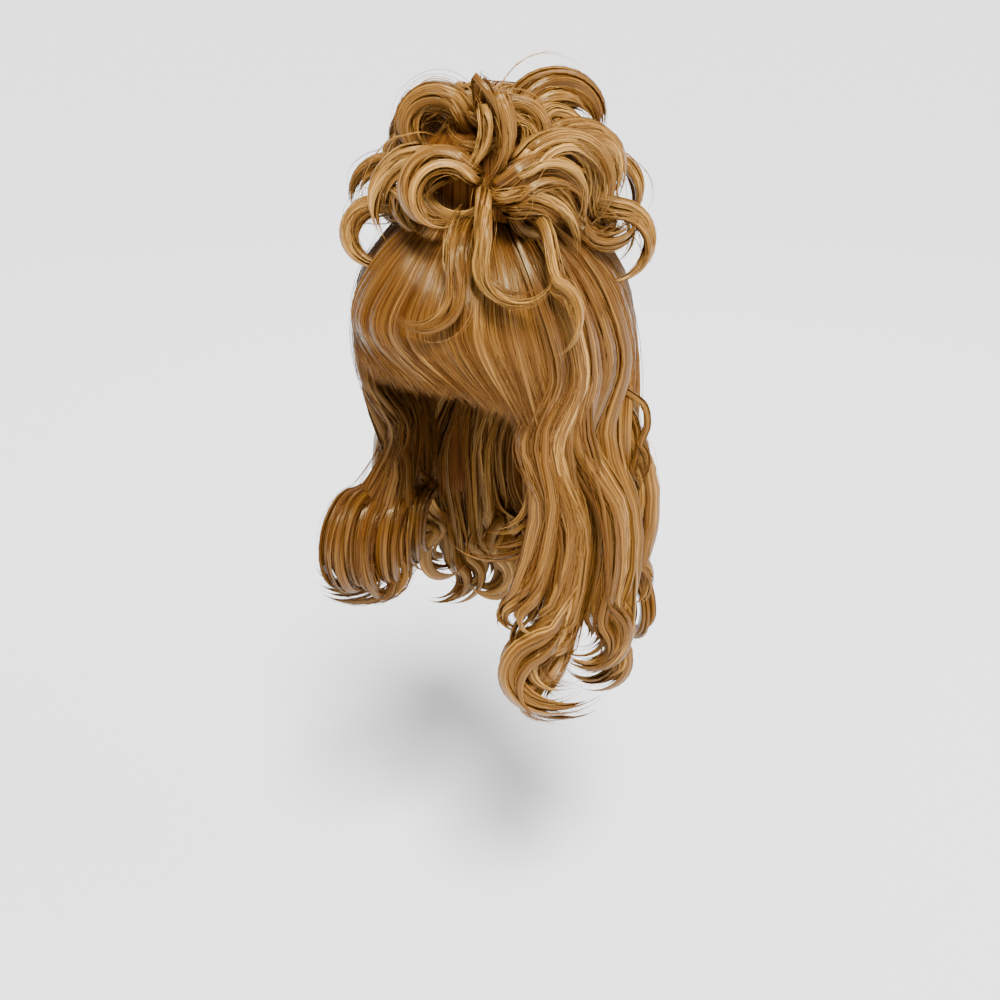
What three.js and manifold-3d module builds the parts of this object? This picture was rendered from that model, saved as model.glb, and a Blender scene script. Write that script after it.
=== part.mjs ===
// A long curly wig: an open cap that a head goes into, a swept fringe, two long side falls and
// a back fall of waved hair, and a high pile of ring curls on the crown.
// Millimetres, +Z up. The wearer faces -Y and their left is +X. The origin is the middle of the
// head hollow at the brow line. Hair stands as locks, each fused to the sheet or the pile that
// carries it.
import * as THREE from "three";
import { mergeVertices } from "three/addons/utils/BufferGeometryUtils.js";
import Module from "manifold-3d";

const wasm = await Module();
wasm.setup();

// Driving dimensions
const HEAD = { halfWidth: 76, halfDepth: 95, crown: 97 };
const CAP_WALL = 2;
const HAIRLINE_FRONT_Z = 48;
const NAPE_Z = -62;
const GAP = 0.4;
// A sheet of hair joins the locks of each side from topUp, under the pile, down to its bottom
const SHEET = { topUp: 84, thickness: 7, sideBottom: -56, backBottom: -185 };
const SHEET_TURNS = { fringe: [-66, 52], left: [56, 121], right: [-114, -66] };
// Heights that every lock passes: its root, half-way down the crown, and beside the ears
const LOCK_UP = { root: 78, crown: 42, ears: -20 };
// How far hair stands off the cap: close at the crown, fuller at the brow line, and fullest
// between the two turns given, behind the ears
const LIFT = { crown: 6, front: 11, back: 30, backFrom: 55, backTo: 122 };
const PILE = { halfWidth: 70, halfDepth: 72, halfHeight: 56, back: 14, up: 110, rootShare: 0.35, riseShare: 0.15 };
// The pile and the falls are laid out in a frame turned to the wearer's left: across runs to the
// right of a viewer who stands there, toward runs to that viewer, and up is +Z.
const LAYOUT_TURN = 30;

const HAIR_COLOURS = { light: 0xb98040, middle: 0xa97032, deep: 0x8f5a26, cap: 0x6b4a2c };

// Fringe locks, swept towards the wearer's left. Turns are degrees round the head from the front.
const FRINGE = [
  { rootTurn: -62, midTurn: -72, tipTurn: -64, tipUp: -12, width: 22, depth: 8 },
  { rootTurn: -46, midTurn: -62, tipTurn: -40, tipUp: -17, width: 26, depth: 8 },
  { rootTurn: -30, midTurn: -46, tipTurn: -17, tipUp: -22, width: 26, depth: 8 },
  { rootTurn: -14, midTurn: -27, tipTurn: 4, tipUp: -23, width: 26, depth: 8 },
  { rootTurn: 2, midTurn: -7, tipTurn: 22, tipUp: -25, width: 26, depth: 8 },
  { rootTurn: 18, midTurn: 14, tipTurn: 38, tipUp: -36, width: 26, depth: 8 },
  { rootTurn: 34, midTurn: 34, tipTurn: 53, tipUp: -50, width: 26, depth: 9 },
];
const FRINGE_BEND = { highUp: 50, highShare: 0.7, midUp: 14, midLift: 2, edgeDrop: 4 };

// Hanging locks. Each leaves the crown at rootTurn, passes the ears at hangTurn, sways on its way
// down, and ends in a ring of hair given by its centre, radii, start and sweep. face turns the
// ring's plane away from the viewer of the layout, and pinch draws the lock in to the neck.
const LEFT_FALL = [
  { rootTurn: 56, hangTurn: 69, sway: 14, across: 31, up: -207, toward: 82, wide: 14, tall: 13,
    start: 120, sweep: 195, width: 20, depth: 16 },
  { rootTurn: 65, hangTurn: 77, sway: 16, across: 63, up: -256, toward: 80, wide: 41, tall: 33,
    start: 115, sweep: 220, width: 24, depth: 18 },
  { rootTurn: 75, hangTurn: 86, sway: 14, across: 84, up: -232, toward: 66, wide: 26, tall: 28,
    start: 50, sweep: -220, width: 24, depth: 18 },
  { rootTurn: 84, hangTurn: 95, sway: 10, across: 68, up: -287, toward: 63, wide: 32, tall: 22,
    start: 130, sweep: 195, width: 25, depth: 17 },
  { rootTurn: 95, hangTurn: 105, sway: 14, across: 88, up: -264, toward: 46, wide: 24, tall: 24,
    start: 42, sweep: -212, width: 26, depth: 18 },
  { rootTurn: 107, hangTurn: 115, sway: 12, across: 119, up: -216, toward: 8, wide: 17, tall: 22,
    start: 55, sweep: -150, width: 24, depth: 15 },
  { rootTurn: 71, hangTurn: 82, sway: 6, across: 68, up: -214, toward: 54, wide: 25, tall: 24,
    start: 120, sweep: 200, width: 26, depth: 20 },
  { rootTurn: 68, hangTurn: 80, sway: 15, across: 62, up: -256, toward: 72, wide: 24, tall: 20,
    start: 118, sweep: 207, width: 24, depth: 17 },
  { rootTurn: 60, hangTurn: 70, sway: -4, across: 13, up: -119, toward: 66, wide: 40, tall: 38,
    start: -8, sweep: -120, width: 10, depth: 7 },
];
const RIGHT_FALL = [
  { rootTurn: -70, hangTurn: -76, sway: 6, across: -100, up: -180, toward: 4, wide: 30, tall: 38,
    start: 75, sweep: 240, face: 56, pinch: 26, width: 24, depth: 15 },
  { rootTurn: -80, hangTurn: -86, sway: 6, across: -85, up: -186, toward: -10, wide: 30, tall: 40,
    start: 78, sweep: 235, face: 60, pinch: 20, width: 26, depth: 16 },
  { rootTurn: -90, hangTurn: -97, sway: 4, across: -67, up: -189, toward: -24, wide: 27, tall: 37,
    start: 80, sweep: 230, face: 64, pinch: 14, width: 26, depth: 16 },
  { rootTurn: -101, hangTurn: -108, sway: 4, across: -54, up: -184, toward: -40, wide: 25, tall: 33,
    start: 80, sweep: 225, face: 68, pinch: 8, width: 26, depth: 17 },
  { rootTurn: -74, hangTurn: -80, sway: 3, across: -126, up: -196, toward: 2, wide: 26, tall: 27,
    start: 25, sweep: -145, face: 0, pinch: 24, width: 12, depth: 9 },
];
// Places of a hanging lock between the ears and its ring, with how much it sways and is drawn in
const WAVE = [
  { share: 0.26, sway: -0.8, pinch: 0.4 },
  { share: 0.55, sway: 0.8, pinch: 1 },
  { share: 0.8, sway: 0.7, pinch: 0.6 },
];
const BACK_FALL = {
  count: 6,
  fromTurn: 126,
  toTurn: 240,
  ringUp: -248,
  ringUpStep: 14,
  ringRadius: 23,
  sway: 14,
  sweep: 240,
  width: 54,
  depth: 20,
};

// Ring curls of the pile: the ring's centre, its radii, where the hair enters it and how far it
// winds, counterclockwise when positive. face turns the ring's plane away from the viewer, lean
// tips its foot towards the viewer, drift carries it along its axis, and shrink winds it inwards.
// A tendril with a rise drops from that far above its ring.
const PILE_CURLS = [
  { name: "top_arch", across: 58, up: 147, toward: 0, wide: 32, tall: 31, start: 170, sweep: -215,
    face: 12, lean: 0, drift: -8, shrink: 1, width: 22, depth: 21 },
  { name: "left_roll", across: -29, up: 153, toward: 26, wide: 23, tall: 23, start: 20, sweep: 330,
    face: -14, lean: 0, drift: 12, shrink: 0.85, width: 24, depth: 17 },
  { name: "centre_roll", across: -27, up: 115, toward: 66, wide: 23, tall: 23, start: 50, sweep: 300,
    face: -8, lean: 10, drift: 10, shrink: 0.75, width: 22, depth: 15 },
  { name: "centre_ring", across: 25, up: 152, toward: 46, wide: 20, tall: 20, start: 145, sweep: -320,
    face: 4, lean: 0, drift: 8, shrink: 1, width: 13, depth: 9 },
  { name: "centre_drop", across: -33, up: 155, toward: 64, wide: 52, tall: 50, start: 25, sweep: -85,
    face: 0, lean: 0, drift: 8, shrink: 1, width: 18, depth: 15 },
  { name: "low_sweep", across: 26, up: 72, toward: 68, wide: 46, tall: 44, start: 100, sweep: -110,
    face: 22, lean: 0, drift: 4, shrink: 1, width: 22, depth: 17 },
  { name: "right_sweep_1", across: 42, up: 97, toward: 62, wide: 34, tall: 34, start: 135, sweep: -170,
    face: 24, lean: 0, drift: 2, shrink: 1, width: 22, depth: 14 },
  { name: "right_sweep_2", across: 55, up: 111, toward: 48, wide: 36, tall: 35, start: 140, sweep: -190,
    face: 26, lean: 0, drift: 0, shrink: 1, width: 22, depth: 15 },
  { name: "right_sweep_3", across: 69, up: 113, toward: 24, wide: 37, tall: 35, start: 130, sweep: -180,
    face: 28, lean: 0, drift: 0, shrink: 1, width: 22, depth: 15 },
  { name: "right_loop_high", across: 90, up: 92, toward: -22, wide: 31, tall: 31, start: 75, sweep: -150,
    face: 10, lean: 0, drift: -6, shrink: 1, width: 12, depth: 9 },
  { name: "right_loop_low", across: 98, up: 64, toward: 6, wide: 30, tall: 29, start: 85, sweep: -215,
    face: 14, lean: 0, drift: 4, shrink: 1, width: 12, depth: 9 },
  { name: "right_hook", across: 94, up: 86, toward: 14, wide: 23, tall: 21, start: 215, sweep: 165,
    face: 20, lean: 0, drift: 6, shrink: 1, width: 15, depth: 12 },
  { name: "front_tendril", across: 26, up: 69, toward: 96, wide: 26, tall: 24, start: 160, sweep: 190,
    face: 0, lean: 20, drift: 3, shrink: 1, rise: 34, width: 13, depth: 10 },
  { name: "left_tendril", across: -38, up: 50, toward: 102, wide: 25, tall: 25, start: 25, sweep: -190,
    face: -12, lean: 22, drift: 3, shrink: 1, rise: 24, width: 10, depth: 8 },
  { name: "right_tendril", across: 48, up: 33, toward: 100, wide: 21, tall: 26, start: 70, sweep: -165,
    face: 14, lean: 14, drift: 3, shrink: 1, rise: 30, width: 10, depth: 8 },
  { name: "left_loop_high", across: -66, up: 94, toward: -8, wide: 30, tall: 30, start: 80, sweep: 130,
    face: -12, lean: 0, drift: 4, shrink: 1, width: 12, depth: 9 },
  { name: "left_loop_low", across: -74, up: 72, toward: 10, wide: 24, tall: 23, start: 75, sweep: 245,
    face: -16, lean: 0, drift: 6, shrink: 1, width: 15, depth: 12 },
  { name: "left_sweep", across: -38, up: 94, toward: 40, wide: 40, tall: 42, start: 105, sweep: 115,
    face: -22, lean: 0, drift: 2, shrink: 1, width: 22, depth: 15 },
];
// Ring curls of the pile's back, spread evenly in tiers
const BACK_CURLS = {
  tiers: [
    { count: 4, fromTurn: 132, toTurn: 262, up: 92, out: 76, radius: 28, sweep: 300, lean: 0 },
    { count: 3, fromTurn: 150, toTurn: 256, up: 140, out: 52, radius: 26, sweep: -300, lean: 35 },
  ],
  drift: 8,
  width: 24,
  depth: 15,
};

// Facets: sides round a lock, fewer for one narrower than thinWidth, degrees of ring and of sheet
// to a step, and steps of the other shapes
const LOCK_SIDES = { fall: 5, curl: 5, thin: 4, thinWidth: 16, fringe: 4 };
const RING_STEP = 50;
const SHEET_STEP = 18;
const SHEET_ROWS = 4;
const FRINGE_STEPS = 5;
const BALL_STEPS = { dome: [20, 12], heart: [14, 9] };
const TAPER = { curl: { from: 0.55, tip: 0.2 }, fall: { from: 0.8, tip: 0.36 }, fringe: { from: 0.6, tip: 0.6 } };

const radians = THREE.MathUtils.degToRad;
const mix = THREE.MathUtils.lerp;
const eased = THREE.MathUtils.smoothstep;

// The level direction at a turn round the head, and the viewer's right as seen from there
const outwards = (turn) => new THREE.Vector3(Math.sin(radians(turn)), -Math.cos(radians(turn)), 0);
const rightwards = (turn) => new THREE.Vector3(Math.cos(radians(turn)), Math.sin(radians(turn)), 0);

// A point of the layout frame
function laidOut({ across, up, toward }) {
  return rightwards(LAYOUT_TURN).multiplyScalar(across)
    .addScaledVector(outwards(LAYOUT_TURN), toward)
    .setZ(up);
}

// A point over the cap at a turn and height: on the dome above the brow line, straight below it
function overHead(turn, up, lift) {
  const reach = CAP_WALL + lift;
  const share = up > 0 ? Math.sqrt(Math.max(0, 1 - (up / (HEAD.crown + reach)) ** 2)) : 1;
  const way = outwards(turn);
  const x = way.x * (HEAD.halfWidth + reach) * share;
  const y = way.y * (HEAD.halfDepth + reach) * share;
  return new THREE.Vector3(x, y, up);
}

// How far the middle of a lock stands off the cap at a turn and height
function liftAt(turn, up) {
  const fromFront = Math.abs(THREE.MathUtils.euclideanModulo(turn + 180, 360) - 180);
  const full = mix(LIFT.front, LIFT.back, eased(fromFront, LIFT.backFrom, LIFT.backTo));
  return mix(full, LIFT.crown, eased(up, 0, SHEET.topUp));
}

// A point in the middle of the hair at a turn and height
const inHair = (turn, up, lift = 0) => overHead(turn, up, liftAt(turn, up) + lift);

// The height of the cap's edge at a turn
const rimUp = (turn) => mix(NAPE_Z, HAIRLINE_FRONT_Z, (1 + Math.cos(radians(turn))) / 2);

// The way out of the head's surface at a point
function outOfHead(point) {
  const dome = Math.max(0, point.z) / HEAD.crown ** 2;
  return new THREE.Vector3(point.x / HEAD.halfWidth ** 2, point.y / HEAD.halfDepth ** 2, dome).normalize();
}

// A closed three.js geometry as a solid
function solid(geometry) {
  for (const name of ["normal", "uv"]) geometry.deleteAttribute(name);
  const merged = mergeVertices(geometry, 1e-4);
  return new wasm.Manifold(
    new wasm.Mesh({
      numProp: 3,
      vertProperties: merged.attributes.position.array,
      triVerts: new Uint32Array(merged.index.array),
    }),
  );
}

// Moves every vertex of a geometry to where place says
function reshaped(geometry, place) {
  const spots = geometry.attributes.position;
  const spot = new THREE.Vector3();
  for (let i = 0; i < spots.count; i++) {
    spot.fromBufferAttribute(spots, i);
    spots.setXYZ(i, ...place(spot.clone()).toArray());
  }
  return geometry;
}

const joined = (solids) => solids.reduce((whole, next) => whole.add(next));

// The largest body of a solid, once its cuts have freed crumbs
const largest = (cut) => cut.decompose().reduce((a, b) => (b.volume() > a.volume() ? b : a));

// A lock of hair: a cylinder bent along a curve, oval in section, drawn to a tip
function lock(curve, { width, depth, steps, facing, sides, taper, grow = 0 }) {
  const straight = new THREE.CylinderGeometry(1, 1, 1, sides, steps);
  return solid(
    reshaped(straight, (spot) => {
      const t = spot.y + 0.5;
      const middle = curve.getPoint(t);
      const along = curve.getTangent(t);
      const thick = facing(t, middle);
      thick.addScaledVector(along, -thick.dot(along)).normalize();
      const broad = along.clone().cross(thick);
      const full = mix(1, taper.tip, eased(t, taper.from, 1));
      return middle
        .addScaledVector(broad, spot.x * ((width / 2) * full + grow))
        .addScaledVector(thick, spot.z * ((depth / 2) * full + grow));
    }),
  );
}

// The points of a ring of hair, and the way out of the ring at each of them
function ring({ centre, faceTurn, wide, tall, start, sweep, lean = 0, drift = 0, shrink = 1 }) {
  const right = rightwards(faceTurn);
  const axis = outwards(faceTurn);
  const rise = axis.clone().multiplyScalar(-Math.sin(radians(lean))).setZ(Math.cos(radians(lean)));
  const steps = Math.ceil(Math.abs(sweep) / RING_STEP);
  return Array.from({ length: steps + 1 }, (_, i) => {
    const share = i / steps;
    const angle = radians(start + sweep * share);
    const size = mix(1, shrink, share);
    const out = right.clone()
      .multiplyScalar(Math.cos(angle) * wide * size)
      .addScaledVector(rise, Math.sin(angle) * tall * size);
    return { point: centre.clone().add(out).addScaledVector(axis, drift * share), out: out.normalize() };
  });
}

// A lock that follows lead-in points and then a ring: its thin way turns from the head to the ring
function ringLock(lead, loop, { width, depth, sides, taper, grow }) {
  const points = [...lead, ...loop.map((stop) => stop.point)];
  const curve = new THREE.CatmullRomCurve3(points, false, "centripetal");
  const last = points.length - 1;
  const facing = (t, middle) => {
    const stop = t * last - lead.length;
    if (stop < 0) return outOfHead(middle);
    const low = Math.min(Math.floor(stop), loop.length - 1);
    const high = Math.min(low + 1, loop.length - 1);
    return loop[low].out.clone().lerp(loop[high].out, stop - low);
  };
  return lock(curve, { width, depth, sides, steps: last + 1, facing, taper, grow });
}

// The sheet of hair that joins a stretch of locks and sits on the cap, from one turn to another.
// It reaches into the cap above the cap's edge and is a thin sheet below it.
function sheet([fromTurn, toTurn], bottomAt, grow) {
  const slab = new THREE.BoxGeometry(1, 1, 1, Math.ceil((toTurn - fromTurn) / SHEET_STEP), SHEET_ROWS, 1);
  return solid(
    reshaped(slab, ({ x, y, z }) => {
      const turn = mix(fromTurn - grow, toTurn + grow, x + 0.5);
      const up = mix(bottomAt(turn) - grow, SHEET.topUp + grow, y + 0.5);
      const outer = liftAt(turn, up) + grow;
      if (z > 0) return overHead(turn, up, outer);
      return overHead(turn, up, up > rimUp(turn) ? -2 * CAP_WALL : outer - SHEET.thickness - 2 * grow);
    }),
  );
}

// A hanging lock: over the crown, past the ears, down with its sway, round its ring
function hangingLock(row, centre, faceTurn, grow) {
  const loop = ring({ ...row, centre, faceTurn });
  const entry = loop[0].point;
  const hang = inHair(row.hangTurn, LOCK_UP.ears);
  const right = rightwards(faceTurn);
  const lead = [
    inHair(row.rootTurn, LOCK_UP.root),
    inHair((row.rootTurn + row.hangTurn) / 2, LOCK_UP.crown),
    hang,
    ...WAVE.map((place) =>
      hang.clone()
        .lerp(entry, place.share)
        .addScaledVector(right, place.sway * row.sway)
        .addScaledVector(rightwards(LAYOUT_TURN), place.pinch * (row.pinch ?? 0)),
    ),
  ];
  return ringLock(lead, loop, { ...row, sides: LOCK_SIDES.fall, taper: TAPER.fall, grow });
}

function sideFall(rows, turns, grow = 0) {
  const locks = rows.map((row) => hangingLock(row, laidOut(row), LAYOUT_TURN + (row.face ?? 0), grow));
  return joined([sheet(turns, () => SHEET.sideBottom, grow), ...locks]);
}

const leftFall = (grow) => sideFall(LEFT_FALL, SHEET_TURNS.left, grow);
const rightFall = (grow) => sideFall(RIGHT_FALL, SHEET_TURNS.right, grow);

function backFall(grow = 0) {
  const b = BACK_FALL;
  const locks = Array.from({ length: b.count }, (_, i) => {
    const turn = mix(b.fromTurn, b.toTurn, (i + 0.5) / b.count);
    const side = i % 2 ? 1 : -1;
    const centre = inHair(turn, 0).setZ(b.ringUp + side * b.ringUpStep);
    const row = {
      rootTurn: turn,
      hangTurn: turn,
      sway: b.sway,
      wide: b.ringRadius,
      tall: b.ringRadius,
      start: side > 0 ? 60 : 120,
      sweep: -side * b.sweep,
      width: b.width,
      depth: b.depth,
    };
    return hangingLock(row, centre, turn, grow);
  });
  return joined([sheet([b.fromTurn, b.toTurn], () => SHEET.backBottom, grow), ...locks]);
}

function fringe(grow = 0) {
  const bend = FRINGE_BEND;
  const locks = FRINGE.map((row) => {
    const points = [
      inHair(row.rootTurn, LOCK_UP.root),
      inHair(mix(row.rootTurn, row.midTurn, bend.highShare), bend.highUp),
      inHair(row.midTurn, bend.midUp, bend.midLift),
      inHair(row.tipTurn, row.tipUp),
    ];
    const curve = new THREE.CatmullRomCurve3(points, false, "centripetal");
    const facing = (_, middle) => outOfHead(middle);
    return lock(curve, { ...row, sides: LOCK_SIDES.fringe, steps: FRINGE_STEPS, facing, taper: TAPER.fringe, grow });
  });
  const edgeAt = (turn) => {
    const next = Math.max(1, FRINGE.findIndex((row) => row.tipTurn > turn));
    const [low, high] = [FRINGE[next - 1], FRINGE[next]];
    const share = (turn - low.tipTurn) / (high.tipTurn - low.tipTurn);
    return mix(low.tipUp, high.tipUp, share) - bend.edgeDrop;
  };
  return joined([sheet(SHEET_TURNS.fringe, edgeAt, grow), ...locks]);
}

// A curl of the pile, rooted in the pile's heart
function pileCurl(row, centre, faceTurn) {
  const loop = ring({ ...row, centre, faceTurn });
  const heart = new THREE.Vector3(0, PILE.back, PILE.up);
  const entry = loop[0].point;
  const lead = [heart.clone().lerp(entry, PILE.rootShare)];
  if (row.rise) lead.push(entry.clone().setZ(entry.z + row.rise).lerp(heart, PILE.riseShare));
  const sides = row.width < LOCK_SIDES.thinWidth ? LOCK_SIDES.thin : LOCK_SIDES.curl;
  return ringLock(lead, loop, { ...row, sides, taper: TAPER.curl });
}

function pile() {
  const heart = solid(
    reshaped(new THREE.SphereGeometry(1, ...BALL_STEPS.heart), ({ x, y, z }) =>
      new THREE.Vector3(
        x * PILE.halfWidth,
        z * PILE.halfDepth + PILE.back,
        -y * PILE.halfHeight + PILE.up,
      ),
    ),
  );
  const front = PILE_CURLS.map((row) => pileCurl(row, laidOut(row), LAYOUT_TURN + row.face));
  const back = BACK_CURLS.tiers.flatMap((tier) =>
    Array.from({ length: tier.count }, (_, i) => {
      const turn = mix(tier.fromTurn, tier.toTurn, i / (tier.count - 1));
      const centre = outwards(turn).multiplyScalar(tier.out).setZ(tier.up);
      centre.y += PILE.back;
      const row = { ...BACK_CURLS, ...tier, wide: tier.radius, tall: tier.radius, start: 90 };
      return pileCurl(row, centre, turn);
    }),
  );
  return joined([heart, ...front, ...back]);
}

// The head's own rounded form, larger by reach
function dome(reach) {
  const ball = new THREE.SphereGeometry(1, ...BALL_STEPS.dome);
  return solid(
    reshaped(ball, ({ x, y, z }) =>
      new THREE.Vector3(
        x * (HEAD.halfWidth + reach),
        z * (HEAD.halfDepth + reach),
        -y * (HEAD.crown + reach),
      ),
    ),
  );
}

// Everything under the cap's slanting edge, which runs from the front hairline to the nape
function underRim() {
  const reach = 2 * HEAD.halfDepth;
  const slope = (HAIRLINE_FRONT_Z - NAPE_Z) / (2 * HEAD.halfDepth);
  const middle = (HAIRLINE_FRONT_Z + NAPE_Z) / 2;
  return solid(
    reshaped(new THREE.BoxGeometry(2 * reach, 2 * reach, 2 * reach), (spot) =>
      spot.z > 0 ? spot.setZ(middle - slope * spot.y) : spot,
    ),
  );
}

function build() {
  const cap = dome(CAP_WALL).subtract(dome(0)).subtract(underRim());
  const headRoom = dome(CAP_WALL + GAP);
  const front = largest(fringe().subtract(headRoom));
  const frontRoom = fringe(GAP);
  const left = largest(leftFall(0).subtract(headRoom).subtract(frontRoom));
  const right = largest(rightFall(0).subtract(headRoom).subtract(frontRoom));
  const sideRoom = joined([leftFall(GAP), rightFall(GAP)]);
  const back = largest(backFall().subtract(headRoom).subtract(sideRoom));
  const hairRoom = joined([headRoom, frontRoom, sideRoom, backFall(GAP)]);
  const top = largest(pile().subtract(hairRoom));
  return { cap, fringe: front, left_fall: left, right_fall: right, back_fall: back, updo: top };
}

// A solid as a named three.js mesh
function meshOf(name, made, colour, roughness) {
  const { vertProperties, triVerts } = made.getMesh();
  const geometry = new THREE.BufferGeometry()
    .setAttribute("position", new THREE.BufferAttribute(vertProperties, 3))
    .setIndex(new THREE.BufferAttribute(triVerts, 1));
  geometry.computeVertexNormals();
  const mesh = new THREE.Mesh(geometry, new THREE.MeshStandardMaterial({ color: colour, roughness, metalness: 0 }));
  mesh.name = name;
  return mesh;
}

const FINISHES = {
  cap: [HAIR_COLOURS.cap, 0.9],
  fringe: [HAIR_COLOURS.light, 0.4],
  left_fall: [HAIR_COLOURS.middle, 0.4],
  right_fall: [HAIR_COLOURS.deep, 0.45],
  back_fall: [HAIR_COLOURS.deep, 0.45],
  updo: [HAIR_COLOURS.middle, 0.4],
};

const wig = new THREE.Group();
wig.name = "long_curly_wig";
for (const [name, made] of Object.entries(build())) wig.add(meshOf(name, made, ...FINISHES[name]));

export default wig;
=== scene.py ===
import math

import bpy
import numpy as np
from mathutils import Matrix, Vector


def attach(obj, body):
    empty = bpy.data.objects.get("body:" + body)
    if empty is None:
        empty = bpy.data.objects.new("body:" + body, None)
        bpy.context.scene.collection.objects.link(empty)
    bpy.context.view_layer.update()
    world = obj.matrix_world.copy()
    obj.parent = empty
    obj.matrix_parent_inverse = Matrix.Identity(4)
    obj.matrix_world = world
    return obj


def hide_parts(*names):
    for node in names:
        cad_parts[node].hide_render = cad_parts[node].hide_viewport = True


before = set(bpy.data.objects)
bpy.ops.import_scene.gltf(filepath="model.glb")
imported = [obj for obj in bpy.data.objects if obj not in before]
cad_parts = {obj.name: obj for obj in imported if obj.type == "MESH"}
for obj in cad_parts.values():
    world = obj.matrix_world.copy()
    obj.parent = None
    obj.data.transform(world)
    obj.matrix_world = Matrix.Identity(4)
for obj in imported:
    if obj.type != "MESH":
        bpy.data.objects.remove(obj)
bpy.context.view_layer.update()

# A long curly wig: every lock is a core with flat sub-locks round it and fine strands over both; cores and
# the sheets behind are coloured dark as painted shade.
# Shapes are worked out in millimetres and scaled to metres when a mesh is made.
SEED = 20
rng = np.random.default_rng(SEED)
MM = 0.001
UP = np.array([0.0, 0.0, 1.0])
FULL_TURN = 2 * math.pi

# Sizes that the solids share
HEAD = np.array([76.0, 95.0, 97.0])
CAP_WALL = 2.0
HAIRLINE_FRONT, NAPE = 48.0, -62.0
SHEET_TOP, SIDE_BOTTOM, BACK_BOTTOM = 84.0, -56.0, -185.0
SHEET_TURNS = {"left": (56, 121), "right": (-114, -66), "back": (126, 240)}
CROWN_UP, EARS_UP = 42.0, -20.0
LIFT_CROWN, LIFT_FRONT, LIFT_BACK = 6.0, 11.0, 30.0
LIFT_BACK_FROM, LIFT_BACK_TO = 55.0, 122.0
HEART = np.array([70.0, 72.0, 56.0])
HEART_MIDDLE = np.array([0.0, 14.0, 110.0])
HEART_ROOT_SHARE, TENDRIL_RISE_SHARE = 0.35, 0.15
LAYOUT_TURN = 30.0

# Hair starts higher on the crown than the solids do, and is stepped more finely
ROOT_UP = 93.0
RING_STEP = 18.0
GUIDE_POINTS = 90
STEP_BEND, STEP_LENGTH = 17.5, 90.0
FEWEST_STEPS, MOST_STEPS = 8, 36
LOCK_TONE_RANGE = 0.3

# How far strands, cores and the pile's heart stay off the head
STRAND_CLEAR, CORE_CLEAR, HEART_CLEAR = CAP_WALL + 1.5, CAP_WALL + 1.0, CAP_WALL + 8.0

# How a lock ends: where it narrows and to what share, where sub-locks thin, and where strands stop
RINGLET_END = dict(taper_from=0.84, tip=0.4, thin_from=0.8, ends=(0.87, 1.0))
CURL_END = dict(taper_from=0.6, tip=0.25, thin_from=0.72, ends=(0.8, 1.0))


def rows(columns, *lines):
    """A table: named columns, and one line of numbers for each row."""
    return [dict(zip(columns.split(), line)) for line in lines]


FRINGE = rows(
    "root mid tip tip_up",
    (-62, -72, -64, -12),
    (-46, -62, -40, -17),
    (-30, -46, -17, -22),
    (-14, -27, 4, -23),
    (2, -7, 22, -25),
    (18, 14, 38, -36),
    (34, 34, 53, -50),
)
FALL_COLUMNS = "root hang sway pinch across up toward face wide tall start sweep width depth"
LEFT_FALL = rows(
    FALL_COLUMNS,
    (56, 69, 14, 0, 31, -207, 82, 0, 14, 13, 120, 195, 20, 16),
    (65, 77, 16, 0, 63, -256, 80, 0, 41, 33, 115, 220, 24, 18),
    (75, 86, 14, 0, 84, -232, 66, 0, 26, 28, 50, -220, 24, 18),
    (84, 95, 10, 0, 68, -287, 63, 0, 32, 22, 130, 195, 25, 17),
    (95, 105, 14, 0, 88, -264, 46, 0, 24, 24, 42, -212, 26, 18),
    (107, 115, 12, 0, 119, -216, 8, 0, 17, 22, 55, -150, 24, 15),
    (71, 82, 6, 0, 68, -214, 54, 0, 25, 24, 120, 200, 26, 20),
    (68, 80, 15, 0, 62, -256, 72, 0, 24, 20, 118, 207, 24, 17),
    (60, 70, -4, 0, 13, -119, 66, 0, 40, 38, -8, -120, 10, 7),
)
RIGHT_FALL = rows(
    FALL_COLUMNS,
    (-70, -76, 6, 26, -100, -180, 4, 56, 30, 38, 75, 240, 24, 15),
    (-80, -86, 6, 20, -85, -186, -10, 60, 30, 40, 78, 235, 26, 16),
    (-90, -97, 4, 14, -67, -189, -24, 64, 27, 37, 80, 230, 26, 16),
    (-101, -108, 4, 8, -54, -184, -40, 68, 25, 33, 80, 225, 26, 17),
    (-74, -80, 3, 24, -126, -196, 2, 0, 26, 27, 25, -145, 12, 9),
)
LEFT_WISPS = rows(
    FALL_COLUMNS,
    (104, 112, 10, 0, 121, -176, 10, 0, 15, 26, 60, -165, 8, 6),
    (98, 108, 12, 0, 114, -108, 20, 0, 16, 20, 55, -145, 6, 5),
    (100, 110, 8, 0, 113, -128, 16, 0, 13, 12, 60, -175, 6, 5),
    (62, 74, 14, 0, 40, -232, 80, 0, 16, 22, 115, 200, 9, 7),
    (88, 98, 14, 0, 84, -262, 56, 0, 34, 26, 125, 195, 10, 7),
    (60, 70, -4, 0, 10, -128, 70, 0, 42, 38, -8, -150, 8, 6),
)
RIGHT_WISPS = rows(
    FALL_COLUMNS,
    (-73, -79, 3, 22, -116, -206, 2, 0, 22, 18, 20, -250, 10, 8),
    (-75, -82, 3, 20, -112, -216, 0, 0, 26, 16, 30, -225, 10, 8),
    (-72, -78, 3, 24, -118, -196, 6, 0, 18, 20, 10, -240, 10, 8),
    (-78, -84, 3, 20, -104, -222, -4, 0, 32, 18, 35, -215, 10, 8),
    (-84, -90, 3, 16, -98, -214, -10, 0, 36, 26, 40, -190, 10, 8),
)
WAVE = rows("share sway pinch", (0.26, -0.8, 0.4), (0.55, 0.8, 1.0), (0.8, 0.7, 0.6))
BACK_FALL = dict(count=6, ring_up=-248, ring_up_step=14, start=90, start_step=30, sweep=240)
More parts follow.
